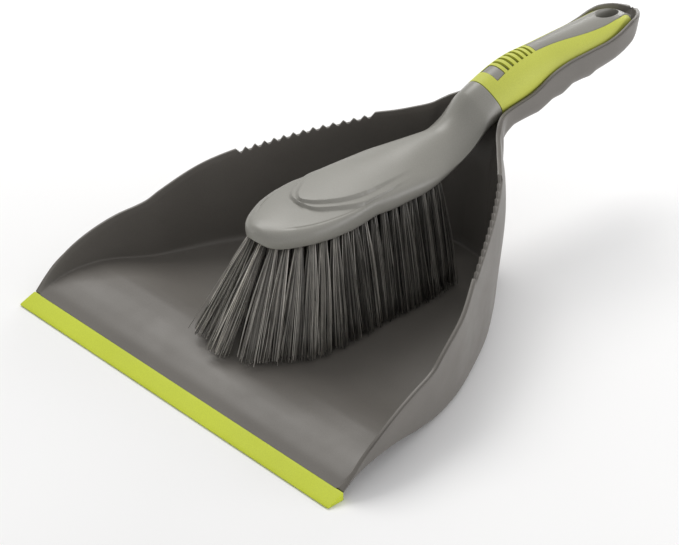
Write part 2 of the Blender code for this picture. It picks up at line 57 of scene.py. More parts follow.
WALL = 2.2
FRONT_EDGE = 10.0
FRONT_THICKNESS = 3.2
COMB_FIRST_PEAK = 124.2
COMB_LAST_PEAK = 174.7
COMB_TEETH = 13
COMB_PEAK_DROP = 0.8
COMB_VALLEY_DROP = 3.0
COMB_TIP_HALF = 0.12
COMB_FLANK = 1.55
COMB_SHOULDER = 1.9
LEDGE_DROP = 0.7
LEDGE_START = 14.0
LEDGE_FADE = 14.0
LEDGE_WIDTH = 0.8
LEDGE_LIFT = 0.02
LEDGE_BELOW_COMB = 0.1
PAN_END = 324.3
LIP_HALF_WIDTH = 112.5

RIM_X = [(10, 112.3), (16, 112.5), (30, 111.8), (50, 109.2), (70, 105.3), (85, 101.2), (100, 96.4),
         (120, 85.1), (177, 46), (192, 31), (200, 23), (205, 19.6), (210, 17.4), (217, 16.2),
         (226, 15.8), (262, 15.6), (290, 15.4), (301, 14.9), (309, 13.6), (315, 11.6), (319.5, 8.8),
         (322.5, 5.8), (324.3, 2.8)]
RIM_Z = [(10, 4.4), (16, 10), (22, 15.4), (30, 20.7), (40, 25.5), (50, 29.1), (60, 31.6), (70, 33.1),
         (75, 34.3), (82, 38), (90, 41.9), (100, 46.5), (110, 51), (120, 54.8), (150, 62.8), (172, 68),
         (178, 69.8), (185, 71.2), (192, 73.4), (199, 76.2), (203, 78.6), (207, 80.2), (212, 80.8),
         (222, 81.6), (231, 82.8), (238, 85), (245, 88), (252, 90), (262, 91.4), (275, 91.8),
         (288, 92.2), (297, 93.6), (305, 95.8), (311, 96.8), (318, 96.6), (324.3, 95.4)]
BASE_X = [(10, 110.9), (20, 110.3), (31, 109.3), (45, 107.3), (58, 104.4), (72, 101), (84, 98.1),
          (95, 94.8), (103, 92), (125, 81.6), (144, 71), (159, 60.2), (177, 45), (185, 37.5), (189, 33),
          (192, 28.5), (194, 24), (196, 19.5), (198, 17), (200.5, 16), (203, 16), (206, 15.8),
          (212, 14.8), (222, 14.3), (262, 14.2), (294, 14), (303, 13.2), (310, 11.8), (316, 9),
          (321, 5.4), (324.3, 1.5)]
BASE_BACK = [(10, 0), (177, 0), (185, 0.3), (189, 1), (192, 2.5), (194, 3.6), (196, 3.4), (198, 2.9),
             (200.5, 2.3), (203, 1.9), (206, 1.8), (212, 1.2), (222, 0.3), (235, 0), (300, 0),
             (312, 1), (318, 1), (324.3, 0.4)]
BASE_DROP = [(10, 0), (192, 0), (194, 0.4), (196, 1), (198, 1.5), (200.5, 2.5), (203, 3), (206, 3),
             (210, 2), (215, 1), (222, 0.3), (235, 0), (324.3, 0)]
MIDDLE_BACK = [(10, 0), (177, 0), (185, 1), (189, 3), (192, 4.5), (194, 5.3), (196, 5), (198, 4),
               (200.5, 3.2), (203, 2.8), (206, 3.4), (210, 3.6), (215, 3), (222, 1.2), (235, 0),
               (300, 0), (305, 0.6), (312, 2), (318, 2), (322, 1.3), (324.3, 0.7)]
MIDDLE_Z = [(10, 1), (14, 3.8), (20, 5.8), (27, 7.4), (35, 8), (43, 7.9), (50, 7), (57, 5.5), (64, 3.7),
            (71, 2.1), (79, 0.9), (88, 0.2), (96, 0), (192, 0), (194, 1.2), (196, 5), (198, 13),
            (200.5, 34), (203, 50), (206, 59.5), (210, 64), (215, 66.4), (222, 68), (232, 68),
            (238, 68), (244, 69.6), (250, 71.6), (256, 71.8), (260, 73.2), (265, 75), (271, 75),
            (277, 74.6), (282, 76), (289, 76.8), (297, 77.8), (303, 79), (308, 80.8), (312, 82.8),
            (316, 85.6), (319.5, 88.8), (322.5, 91.6), (324.3, 93.6)]
CORNER_RADIUS = [(10, 1), (20, 3), (60, 3.5), (100, 5), (150, 8), (185, 12), (196, 14), (206, 10),
                 (222, 9), (290, 8.5), (305, 6), (312, 4), (318, 2), (324.3, 0.8)]
WALL_BULGE = [(10, 0), (125, 0), (150, 1), (175, 2.6), (192, 3.3), (200, 3), (206, 1), (212, 0),
              (324.3, 0)]
PAN_THICKNESS = [(FRONT_EDGE, FRONT_THICKNESS), (14, WALL), (LENGTH, WALL)]

# Three short profiles over the rim. Each row is how far down a point is, from the ledge in the first
# table and from the rim's top in the others, and how far across the wall it is, from the outer face in
# the first two tables and from the inner face in the last.
LEDGE_PROFILE = [(1.3, 0), (0.45, 0), (0.12, 0.12), (0, 0.4), (0, 0.72)]
RIM_TOP_PROFILE = [(0.35, 0.84), (0.1, 0.92), (0, 1.15), (0, 1.5), (0, 1.85)]
RIM_INNER_PROFILE = [(0.08, 0.12), (0.35, 0)]
LEDGE_FOOT = 3.0
FULL_WALL = 9.0
SMALLEST_INNER_RADIUS = 0.8
BASE_BELOW_RIM = 0.15
FLOOR_STEPS = 12
CORNER_STEPS = 8
WALL_STEPS = 14

# Where the pan's sections stand, as stretches of (from, to, step).
PAN_STRETCHES = [(FRONT_EDGE, 118, 1.0), (118, 181, 0.3), (181, 192, 0.7), (192, 207, 0.3),
                 (207, 318, 1.0), (318, PAN_END, 0.5)]

# The lip's section as distance and height, and how much it shrinks near each square-cut end.
LIP_PROFILE = [(0.9, 0), (0.25, 0.08), (0.0, 0.35), (0.12, 0.62), (0.5, 0.86), (2, 1.42), (4.5, 2.35),
               (7, 3.22), (8.7, 3.82), (9.25, 3.98), (9.55, 3.92), (9.7, 3.6), (9.7, 0.3), (9.5, 0)]
LIP_CENTRE = (5.2, 1.6)
LIP_ENDS = [(0, 0.93), (0.12, 0.97), (0.4, 1)]
LIP_SECTIONS = 60

# ---- Shape of the brush ----

BRUSH_HALF = [(57.5, 0.6), (58.2, 4.2), (60, 8.4), (63.5, 12.5), (70, 16.6), (80, 20.6), (91, 22.5),
              (101, 22.8), (107, 22.3), (113, 21.6), (118, 21.3), (124, 21.8), (132, 22.3), (147, 22.3),
              (156, 21.5), (164, 20), (172, 18.2), (180, 16.4), (190, 14.8), (200, 13.6), (212, 12.9),
              (245, 12.7), (280, 12.4), (294, 11.9), (304, 10.6), (311, 8.6), (316, 6), (320, 2.4)]
BRUSH_CROWN = [(57.5, 68), (60, 70.2), (66, 71.2), (110, 71.8), (135, 74), (150, 75.4), (162, 76.2),
               (178, 76.4), (185, 77.4), (190, 79.4), (194, 82.2), (198, 86), (202, 89.4), (206, 91.4),
               (211, 93.2), (217, 95.2), (224, 97.4), (232, 99.2), (240, 100), (300, 100), (305, 99.4),
               (310, 98), (314.5, 95.8), (318, 93.6), (320, 92.8)]
BRUSH_UNDER = [(57.5, 64), (60, 62.2), (64, 61.5), (80, 61.2), (95, 60.7), (110, 60.5), (118, 61),
               (128, 60.5), (168, 60.5), (178, 61.4), (186, 63.6), (193, 66.8), (200, 70), (207, 71.8),
               (216, 73), (228, 73.8), (240, 74.6), (252, 76.4), (265, 79), (280, 79.8), (290, 81.4),
               (300, 83.2), (307, 85.4), (313, 88.2), (317, 90.2), (320, 91.8)]
BRUSH_WAIST = [(57.5, 0.5), (64, 0.42), (150, 0.4), (180, 0.44), (205, 0.48), (230, 0.52), (320, 0.52)]
BRUSH_FLAT = [(57.5, 0.9), (150, 0.88), (178, 0.55), (205, 0.4), (320, 0.4)]
BRUSH_TOP = [(57.5, 0.5), (60, 0.52), (64, 0.6), (70, 0.7), (80, 0.8), (90, 0.85), (100, 0.89),
             (115, 0.9), (130, 0.84), (150, 0.77), (165, 0.72), (180, 0.65), (200, 0.62), (224, 0.62),
             (250, 0.62), (266, 0.66), (288, 0.74), (303, 0.8), (320, 0.8)]
BRUSH_EDGE_DROP = [(57.5, 0.3), (60, 0.6), (66, 1), (100, 1.6), (118, 2.4), (135, 3.6), (150, 4.8),
                   (162, 5.6), (175, 5.4), (188, 5), (205, 4.2), (222, 3.7), (240, 3.6), (262, 3.7),
                   (284, 3.8), (294, 3.6), (304, 3), (311, 2.2), (317, 1.2), (320, 0.3)]
SECTION_LEAN = [(57.5, 0), (172, 0), (190, 0.3), (205, 0.38), (250, 0.16), (285, 0), (305, -0.16),
                (320, -0.1)]

# The raised tier has two steps. Each table is a step's half width in plan.
UPPER_STEP = [(87.2, 0), (87.6, 1.8), (88.4, 3.2), (89.6, 4.8), (92.9, 7.7), (97, 10.3), (101.4, 12.5),
              (106.4, 14), (112, 14.9), (118, 15.2), (130, 14.8), (150, 13.6), (200, 12)]
LOWER_STEP = [(86.2, 0), (86.4, 2), (86.9, 4.6), (88, 7.4), (90.4, 10.2), (94.8, 13), (99, 15.4),
              (103, 17.3), (107.5, 18.8), (112, 19.6), (118, 19.8), (130, 19.4), (150, 18), (200, 14)]
UPPER_RISE = [(57.5, 1.7), (112, 1.5), (135, 0.6), (152, 0), (320, 0)]
LOWER_RISE = [(57.5, 1.9), (110, 1.6), (130, 0.6), (148, 0), (320, 0)]
STEP_WIDTH = 0.55
TIER_END = 155.0
GROOVE_DEPTH = [(57.5, 0), (66, 0), (76, 0.22), (105, 0.2), (130, 0), (320, 0)]
GROOVE_INSET = 0.3
GROOVE_WIDTH = 0.45
SIDE_STEPS = 9
BOTTOM_COLUMNS = 5
TOP_COLUMNS = 44

# Where the brush's sections stand outside the sleeve: one by one round the nose and the tail, and in
# stretches of (from, to, step) between them.
NOSE_STATIONS = [57.5, 57.7, 58, 58.4, 59, 59.6, 60.4, 61.2]
BRUSH_STRETCHES = [(62, 81, 0.8), (81, 92, 0.35), (92, 156, 0.9), (156, 204, 1.2)]
TAIL_STATIONS = [316.7, 317.2, 318, 318.7, 319.3, 319.7, 320]

GRIP_START = 211.0
COLLAR_END = 218.0
GRIP_END = 316.0
GRIP_THICKNESS = 1.7
GAP = 0.3
CORE_DEPTH = GRIP_THICKNESS + GAP
SHORT_WINDOW_DEPTH = 0.35
LONG_WINDOW_DEPTH = 0.0
WINDOW_ROUNDING = 0.2
WINDOW_EDGE_DROP = 0.25
LEADING_EDGE_DROP = 0.35
GRIP_STEP = 0.9
GRIP_TOP_COLUMNS = 5
WINDOW_COLUMNS = 8
GRIP_BEVEL = 0.22
GRIP_BEVEL_ANGLE = math.radians(50)
RIB_START = 224.0
RIB_COUNT = 7
RIB_PITCH = 3.4
RIB_WIDTH = 1.9
RIBS_END = RIB_START + (RIB_COUNT - 1) * RIB_PITCH + RIB_WIDTH
WINDOW_HALF = [(205, 6.4), (216, 6.2), (224, 5.7), (240, 4.8), (248, 4.2), (255, 4.3), (264, 5),
               (274, 6.2), (284, 7.2), (294, 7.6), (303, 7), (310, 5.2), (316, 3.4)]
HANG_HOLE_AT = 303.5
HANG_HOLE_HALF_LENGTH = 7.4
HANG_HOLE_HALF_WIDTH = 3.9
HANG_HOLE_SIDES = 40
# The cutter's sections: each one's height, and how far it stands out from the hole's wall.
HANG_HOLE_FLARES = [(80, 0), (97.2, 0), (98.3, 0.25), (99.0, 0.9), (99.8, 2.0), (104, 6)]
SLEEVE_HOLE_MARGIN = 0.6

# ---- Bristles ----

TUFT_PITCH = 6.5
TUFT_INSET = 5.0
TUFT_SIDE_COUNT = 17
TUFT_INNER_COUNT = 15
TUFT_INNER_START = 69.0
TUFT_INNER_HALF = 5.2
TUFT_ROOT_RADIUS = 1.55
TUFT_FLOOR_GAP = 0.8
TUFT_NOSE = 63.0
TUFT_NOSE_SPLAY = 13.0
TUFT_INNER_SPLAY = 3.2
TUFT_SPLAY = [(57, TUFT_NOSE_SPLAY), (80, 11.5), (100, 9), (170, 9)]
TUFT_FORWARD = [(57, 17.5), (66, 16.5), (73, 14), (80, 11), (90, 6.5), (105, 1), (170, 0)]
ROW_START = 63.7
ROW_STEP = 0.25
ROW_PLACES = 454
HEAD_MIDDLE = 100.0
FILAMENTS = 62
FILAMENT_RADIUS = 0.2
FILAMENT_SIDES = 3
FILAMENT_SEGMENTS = 6
FILAMENT_ROOT_DEPTH = 1.5
FILAMENT_BOW = 0.5
FILAMENT_FLOOR_GAP = 0.25
GOLDEN_ANGLE = 2.39996
TIP_SPREAD = [(57, 6.2), (78, 5.2), (95, 3.5), (170, 3)]

# Painted light and shade: bristles are lighter near the nose and darker further back. Single strands are
# lighter or darker than their tuft.
TUFT_PAINTED_LIGHT = [(57, 1.55), (95, 1.35), (120, 0.9), (170, 0.75)]
TUFT_SHADES = (0.85, 1.15)
STRAND_SHADES = (0.3, 0.5, 0.8, 1.0, 1.5, 2.3)

# How much chance moves a filament: its turn in radians, its share of the spread, its tip sideways,
# its cut as a mean and a deviation, and its bow. The last three are in millimetres.
TURN_CHANCE = 0.4
SPREAD_CHANCE = 0.16
TIP_CHANCE = 0.5
CUT_CHANCE = (-0.9, 1.1)
BOW_CHANCE = 0.5


class Curve:
    """A monotone cubic through a table's points: it never overshoots between two of them."""

    def __init__(self, points):
        x = np.array([p[0] for p in points], float)
        y = np.array([p[1] for p in points], float)
        step = np.diff(x)
        slope = np.diff(y) / step
        tangent = np.empty_like(y)
        tangent[0], tangent[-1] = slope[0], slope[-1]
        for i in range(1, len(x) - 1):
            if slope[i - 1] * slope[i] <= 0:
                tangent[i] = 0
                continue
            before, after = 2 * step[i] + step[i - 1], step[i] + 2 * step[i - 1]
            tangent[i] = (before + after) / (before / slope[i - 1] + after / slope[i])
        self.x, self.y, self.step, self.tangent = x, y, step, tangent

    def __call__(self, at):
        at = np.clip(at, self.x[0], self.x[-1])
        i = np.clip(np.searchsorted(self.x, at, side="right") - 1, 0, len(self.step) - 1)
        t = (at - self.x[i]) / self.step[i]
        rest = 1 - t
        value = (self.y[i] * rest * rest * (1 + 2 * t) + self.y[i + 1] * t * t * (3 - 2 * t)
                 + self.step[i] * t * rest * (self.tangent[i] * rest - self.tangent[i + 1] * t))
        return float(value)


rim_x, rim_z, base_x, base_back, base_drop = map(Curve, (RIM_X, RIM_Z, BASE_X, BASE_BACK, BASE_DROP))
middle_back, middle_z, corner_radius = map(Curve, (MIDDLE_BACK, MIDDLE_Z, CORNER_RADIUS))
wall_bulge, pan_thickness = map(Curve, (WALL_BULGE, PAN_THICKNESS))
brush_half, brush_crown, brush_under = map(Curve, (BRUSH_HALF, BRUSH_CROWN, BRUSH_UNDER))
brush_waist, brush_flat, brush_top = map(Curve, (BRUSH_WAIST, BRUSH_FLAT, BRUSH_TOP))
brush_edge_drop, section_lean = map(Curve, (BRUSH_EDGE_DROP, SECTION_LEAN))
upper_step, lower_step, upper_rise = map(Curve, (UPPER_STEP, LOWER_STEP, UPPER_RISE))
lower_rise, groove_depth, window_half = map(Curve, (LOWER_RISE, GROOVE_DEPTH, WINDOW_HALF))
tuft_splay, tuft_forward, tip_spread = map(Curve, (TUFT_SPLAY, TUFT_FORWARD, TIP_SPREAD))
tuft_painted_light = Curve(TUFT_PAINTED_LIGHT)


# ---- Mesh helpers ----


def to_frame(points):
    """Millimetre rows of half width, distance and height, as metres in the object's frame."""
    points = np.asarray(points, float)
    return (points - (0, LENGTH / 2, 0)) * MM


def make_mesh(name, points, faces, weld=False):
    """A smooth mesh from millimetre rows, with its faces turned outwards."""
    mesh = bpy.data.meshes.new(name)
    mesh.from_pydata([tuple(p) for p in to_frame(points)], [], faces)
    work = bmesh.new()
    work.from_mesh(mesh)
    if weld:
        bmesh.ops.remove_doubles(work, verts=work.verts, dist=WELD_DISTANCE)
    bmesh.ops.recalc_face_normals(work, faces=work.faces)
    work.to_mesh(mesh)
    work.free()
    mesh.shade_smooth()
    return mesh


def add_piece(name, points, faces, body, nodes, finish):
    """A mesh piece that rides on a body and stands for CAD nodes."""
    mesh = make_mesh(name, points, faces, weld=True)
    mesh.set_sharp_from_angle(angle=SHARP_ANGLE)
    mesh.materials.append(finish)
    piece = bpy.data.objects.new(name, mesh)
    bpy.context.scene.collection.objects.link(piece)
    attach(piece, body)
    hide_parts(*nodes)
    return piece


def loft(rings, capped=True):
    """Points and faces of a tube through closed rings of equal length."""
    size = len(rings[0])
    faces = []
    for k in range(len(rings) - 1):
        for j in range(size):
            after = (j + 1) % size
            faces.append((k * size + j, k * size + after, (k + 1) * size + after, (k + 1) * size + j))
    if capped:
        last = (len(rings) - 1) * size
        faces += [tuple(range(size)), tuple(range(last, last + size))]
    return np.concatenate(rings), faces


def whole_ring(path):
    """A closed ring from its right half, whose first and last points lie on the middle plane."""
    left = path[-2:0:-1] * (-1, 1, 1)
    return np.concatenate([path, left])


def unit(vector):
    return vector / np.linalg.norm(vector)


def stations_along(stretches):
    """Every place in a row of stretches, each given as where it starts, where it ends and its step."""
    return [at for start, end, step in stretches for at in np.arange(start, end, step)]


# ---- Pan ----


def middle_point(at):
    return np.array([0, at + middle_back(at), middle_z(at)])


def rim_point(at):
    return np.array([rim_x(at), at, rim_z(at)])


def outward(at):
    run = rim_point(at + 0.4) - rim_point(at - 0.4)
    return unit(np.array([run[1], -run[0], 0]))


def floor_normal(at):
    run = middle_point(at + 0.4) - middle_point(at - 0.4)
    return unit(np.array([0, -run[2], run[1]]))


def comb_drop(at):
    """How far the rim is cut down at a place along it: a row of teeth between two shoulders."""
    pitch = (COMB_LAST_PEAK - COMB_FIRST_PEAK) / (COMB_TEETH - 1)
    start = COMB_FIRST_PEAK - pitch
    end = COMB_LAST_PEAK + pitch
    if at <= start or at >= end:
        return 0.0
    if at < COMB_FIRST_PEAK - pitch / 2 or at > COMB_LAST_PEAK + pitch / 2:
        return COMB_VALLEY_DROP * min(1.0, (at - start) / COMB_SHOULDER, (end - at) / COMB_SHOULDER)
    phase = (at - COMB_FIRST_PEAK) / pitch
    from_peak = abs(phase - round(phase)) * pitch
    down_flank = min(1.0, max(0.0, from_peak - COMB_TIP_HALF) / COMB_FLANK)
    return COMB_PEAK_DROP + (COMB_VALLEY_DROP - COMB_PEAK_DROP) * down_flank


def ledge_drop(at, drop):
    """How far the ledge runs below the rim: it fades in behind the lip and stays under the comb."""
    fade = min(1.0, max(0.0, (at - LEDGE_START) / LEDGE_FADE))
    under_comb = COMB_VALLEY_DROP + LEDGE_BELOW_COMB if drop else 0.0
    return max(LEDGE_DROP * fade, under_comb)


class HalfSection:
    """One side of the pan's section: floor, rounded corner and wall, up to the rim."""

    def __init__(self, at, inner):
        way = outward(at)
        middle = middle_point(at)
        rim = rim_point(at)
        base = np.array([base_x(at), at + base_back(at), middle[2] - base_drop(at)])
        radius = corner_radius(at)
        if inner:
            thick = pan_thickness(at)
            up = floor_normal(at)
            base = base + (up - way) * (thick / (1 - up @ way))
            middle = middle + up * thick
            rim = rim - way * WALL
            radius = max(SMALLEST_INNER_RADIUS, radius - thick)
            base[2] = min(base[2], rim[2] - BASE_BELOW_RIM)
        self.middle, self.rim, self.base, self.way = middle, rim, base, way
        inward = middle - base
        upward = rim - base
        self.height = np.linalg.norm(upward)
        self.radius = min(radius, 0.45 * np.linalg.norm(inward), 0.45 * self.height)
        self.run = self.height - self.radius
        self.corner_start = base + unit(inward) * self.radius
        self.corner_end = base + unit(upward) * self.radius
        self.bulge = wall_bulge(at)

    def floor_points(self):
        across = self.corner_start - self.middle
        return [self.middle + across * (k / FLOOR_STEPS) for k in range(FLOOR_STEPS)]

    def corner_points(self):
        found = []
        for k in range(CORNER_STEPS):
            t = k / CORNER_STEPS
            first = self.corner_start + (self.base - self.corner_start) * t
            second = self.base + (self.corner_end - self.base) * t
            found.append(first + (second - first) * t)
        return found

    def wall_point(self, below_rim):
        """A place on the wall at a distance below the rim."""
        t = 1 - below_rim / self.run
        share = (self.radius + self.run * t) / self.height
        push = self.bulge * math.sin(math.pi * min(1.0, share) ** 1.6)
        return self.corner_end + (self.rim - self.corner_end) * t + self.way * push


def pan_path(at):
    """The right half of the pan's section: outside from the middle, over the rim, inside and back."""
    outer = HalfSection(at, False)
    inner = HalfSection(at, True)
    way = outer.way
    size = min(1.0, outer.run / FULL_WALL)
    drop = comb_drop(at)
    ledge = ledge_drop(at, drop) * size
    start = (ledge + LEDGE_FOOT) * size
    path = outer.floor_points() + outer.corner_points()
    for k in range(WALL_STEPS + 1):
        path.append(outer.wall_point(outer.run - (outer.run - start) * k / WALL_STEPS))
    for down, across in LEDGE_PROFILE:
        path.append(outer.wall_point(ledge + down * size) - way * across)
    path.append(outer.wall_point(ledge - LEDGE_LIFT) - way * LEDGE_WIDTH)
    lowest = ledge - LEDGE_LIFT if ledge > 0.05 else math.inf
    for down, across in RIM_TOP_PROFILE:
        path.append(outer.wall_point(min(drop + down * size, lowest)) - way * across)
    for down, across in RIM_INNER_PROFILE:
        path.append(inner.wall_point(drop + down * size) + way * across)
    if drop or inner.run > FULL_WALL:
        low = min(inner.run * 0.9, COMB_VALLEY_DROP + 1.2)
    else:
        low = inner.run * 0.4
    for k in range(WALL_STEPS + 1):
        path.append(inner.wall_point(low + (inner.run - low) * k / WALL_STEPS))
    path += inner.corner_points()[::-1]
    path += inner.floor_points()[::-1]
    return np.array(path)


def make_pan(finish):
    paths = [pan_path(at) for at in stations_along(PAN_STRETCHES) + [PAN_END]]
    paths[0][:, 1] = FRONT_EDGE
    rings = [whole_ring(path) for path in paths]
    points, faces = loft(rings, capped=False)
    size = len(rings[0])
    last = len(paths[0]) - 1
    # Each open end is closed between the outer and the inner half of its path, on both sides.
    for start in (0, (len(rings) - 1) * size):
        for side in (lambda k: k, lambda k: (size - k) % size):
            for k in range((last + 1) // 2 - 1):
                corners = (side(k), side(k + 1), side(last - 1 - k), side(last - k))
                faces.append(tuple(start + corner for corner in corners))
    add_piece("pan_shell", points, faces, "pan", ["pan_body"], finish)


def make_lip(finish):
    """The soft strip: a wedge with rounded edges and a slightly wavy front, square-cut at both ends."""
    centre = np.array(LIP_CENTRE)
    half = LIP_HALF_WIDTH
    stations = [(inset - half, scale) for inset, scale in LIP_ENDS]
    stations += [(x, 1) for x in np.linspace(2 - half, half - 2, LIP_SECTIONS)]
    stations += [(half - inset, scale) for inset, scale in reversed(LIP_ENDS)]
    rings = []
    for x, scale in stations:
        wave = 0.05 * math.sin(x * 0.09) + 0.03 * math.sin(x * 0.23 + 1)
        section = (np.array(LIP_PROFILE) - centre) * scale + centre
        rings.append(np.array([(x, d + wave * (0.2 < d < 5), max(0, z)) for d, z in section]))
    points, faces = loft(rings)
    add_piece("lip_strip", points, faces, "pan", ["pan_lip"], finish)


# ---- Brush ----


def step_up(distance, width):
    """A rounded step from 0 to 1 across a width centred on a line."""
    return 0.5 + 0.5 * math.tanh(1.8 * distance / width)


def line_distance(curve, at, x):
    """Roughly how far inside an outline a place is, square to the outline."""
    slope = (curve(at + 0.05) - curve(at - 0.05)) / 0.1
    return (curve(at) - abs(x)) / math.hypot(1, slope)


def top_height(at, x, bare=False):
    """The brush's top surface, with the two steps of the raised tier and the groove near its edge."""
    half = brush_half(at)
    edge = brush_top(at) * half
    share = min(1.0, abs(x) / edge)
    height = brush_crown(at) - brush_edge_drop(at) * share ** 2
    if bare or at > TIER_END:
        return height
    if at > UPPER_STEP[0][0] - 0.1:
        height += upper_rise(at) * step_up(line_distance(upper_step, at, x), STEP_WIDTH)
    if at > LOWER_STEP[0][0] - 0.1:
        height += lower_rise(at) * step_up(line_distance(lower_step, at, x), STEP_WIDTH)
    slope = (brush_half(at + 0.1) - brush_half(at - 0.1)) / 0.2
    inset = (edge - GROOVE_INSET - abs(x)) / math.hypot(1, slope)
    height -= groove_depth(at) * math.exp(-(inset / GROOVE_WIDTH) ** 2)
    return height


def side_curve(at):
    """From the edge of the flat underside round the side to the edge of the top face."""
    half = brush_half(at)
    low = brush_under(at)
    top_edge = brush_top(at) * half
    top_z = top_height(at, top_edge, bare=True)
    flat = brush_flat(at) * half
    waist = low + (top_z - low) * brush_waist(at)
    shoulder = max(waist, top_z - 2 * brush_edge_drop(at) / top_edge * (half - top_edge))
    points = []
    for k in range(SIDE_STEPS + 1):
        turn = math.pi / 2 * k / SIDE_STEPS
        points.append((flat + (half - flat) * math.sin(turn), waist - (waist - low) * math.cos(turn)))
    for k in range(1, SIDE_STEPS + 1):
        t = k / SIDE_STEPS
        rest = 1 - t
        points.append((half * (1 - t * t) + top_edge * t * t,
                       waist * rest * rest + 2 * shoulder * rest * t + top_z * t * t))
    return points


def lower_half(at):
    """The right half of the underside and the side, from the middle to the edge of the top face."""
    side = side_curve(at)
    flat, low = side[0]
    return [(flat * k / BOTTOM_COLUMNS, low) for k in range(BOTTOM_COLUMNS)] + side


def centre_height(at):
    return (brush_crown(at) + brush_under(at)) / 2


def sunk(half_points, at, depth):
    """A half section drawn in by a depth, square to an oval round its centre."""
    centre_z = centre_height(at)
    half = brush_half(at)
    found = []
    for x, z in half_points:
        way = unit(np.array([x / half ** 2, (z - centre_z) / (half * 0.6) ** 2]))
        found.append((x - way[0] * depth, z - way[1] * depth))
    return found


def leaning_path(half_points, at):
    """Right half of a section, tilted to stand square to the rising handle."""
    centre_z = centre_height(at)
    lean = section_lean(at)
    return np.array([(x, at - lean * (z - centre_z), z) for x, z in half_points])


def brush_path(at):
    """The right half of the brush's section where no sleeve covers it."""
    half_points = lower_half(at)
    top_edge = half_points[-1][0]
    for k in range(TOP_COLUMNS - 1, -1, -1):
        x = top_edge * k / TOP_COLUMNS
        half_points.append((x, top_height(at, x)))
    return leaning_path(half_points, at)


def core_path(at, window_depth=CORE_DEPTH):
    """The right half of the section inside the sleeve, which comes nearer the top in a window."""
    outside = lower_half(at)
    top_edge = outside[-1][0]
    edge = window_half(at) - GAP
    inside = edge - WINDOW_ROUNDING
    half_points = sunk(outside, at, CORE_DEPTH)
    for k in range(1, 5):
        x = top_edge + (edge - top_edge) * k / 4
        half_points.append((x, top_height(at, x) - CORE_DEPTH))
    edge_z = top_height(at, edge)
    half_points.append((edge - 0.01, edge_z - min(CORE_DEPTH, window_depth + WINDOW_EDGE_DROP)))
    half_points.append((inside, edge_z - window_depth))
    columns = TOP_COLUMNS - 6
    for k in range(columns - 1, -1, -1):
        x = inside * k / columns
        half_points.append((x, top_height(at, x) - window_depth))
    return leaning_path(half_points, at)


def make_brush(finish):
    shoulder = GRIP_START - GAP
    stations = NOSE_STATIONS + stations_along(BRUSH_STRETCHES) + [shoulder - 0.35]
    paths = [brush_path(at) for at in stations]
    rolled = brush_path(shoulder)
    centre = rolled.mean(0)
    paths.append(rolled + (centre - rolled) * (0.02, 0, 0.02))
    short_window = (COLLAR_END + GAP, RIB_START - GAP)
    ribs = (RIB_START - GAP, RIBS_END + GAP)
    long_window = list(np.arange(RIBS_END + GAP, GRIP_END, GRIP_STEP)) + [GRIP_END + GAP]
    paths += [core_path(at) for at in (shoulder, COLLAR_END + GAP)]
    paths += [core_path(at, SHORT_WINDOW_DEPTH) for at in np.linspace(*short_window, 6)]
    paths += [core_path(at) for at in np.linspace(*ribs, 20)]
    paths += [core_path(at, LONG_WINDOW_DEPTH) for at in long_window]
    paths += [brush_path(at) for at in [GRIP_END + GAP] + TAIL_STATIONS]
    points, faces = loft([whole_ring(path) for path in paths])
    brush = add_piece("brush_block", points, faces, "brush", ["brush_body"], finish)
    cut_hole(brush, 0.0)


def cut_hole(piece, margin):
    """Cuts the hanging hole. The cutter flares near the top, which leaves a soft edge."""
    rings = []
    for z, flare in HANG_HOLE_FLARES:
        half_width = HANG_HOLE_HALF_WIDTH + margin + flare
        half_length = HANG_HOLE_HALF_LENGTH + margin + flare
        turns = [2 * math.pi * k / HANG_HOLE_SIDES for k in range(HANG_HOLE_SIDES)]
        rings.append(np.array([(half_width * math.cos(turn), HANG_HOLE_AT + half_length * math.sin(turn), z)
                               for turn in turns]))
    points, faces = loft(rings)
    cutter = bpy.data.objects.new("hole_cutter", make_mesh("hole_cutter", points, faces))
    bpy.context.scene.collection.objects.link(cutter)
    modifier = piece.modifiers.new("hole", "BOOLEAN")
    modifier.operation = "DIFFERENCE"
    modifier.solver = "EXACT"
    modifier.object = cutter
    apply_modifiers(piece)
    bpy.data.objects.remove(cutter)
    piece.data.shade_smooth()
    piece.data.set_sharp_from_angle(angle=SHARP_ANGLE)


def apply_modifiers(piece):
    depsgraph = bpy.context.evaluated_depsgraph_get()
    made = bpy.data.meshes.new_from_object(piece.evaluated_get(depsgraph), depsgraph=depsgraph)
    piece.modifiers.clear()
    piece.data = made


def rib_edges():
    return [(RIB_START + k * RIB_PITCH, RIB_START + k * RIB_PITCH + RIB_WIDTH) for k in range(RIB_COUNT)]


def grip_stations():
    """Places along the sleeve, and the solid runs across its windows."""
    runs = [(GRIP_START, COLLAR_END)] + rib_edges()
    edges = [GRIP_START + 0.12, GRIP_END]
    for start, end in runs:
        edges += [start, start + 0.25, (start + end) / 2, end - 0.25, end]
    edges += list(np.arange(RIBS_END + 0.8, GRIP_END - 0.4, GRIP_STEP))
    return sorted(set(edges)), runs


def grip_path(at, depth):
    """The right half of the sleeve's section, at a depth below its outer face."""
    half_points = sunk(lower_half(at), at, depth)
    top_edge = half_points[-1][0]
    edge = window_half(at)
    for k in range(1, GRIP_TOP_COLUMNS + 1):
        x = top_edge + (edge - top_edge) * k / GRIP_TOP_COLUMNS
        half_points.append((x, top_height(at, x) - depth))
    for k in range(1, WINDOW_COLUMNS + 1):
        x = edge * (1 - k / WINDOW_COLUMNS)
        half_points.append((x, top_height(at, x) - depth))
    return leaning_path(half_points, at)


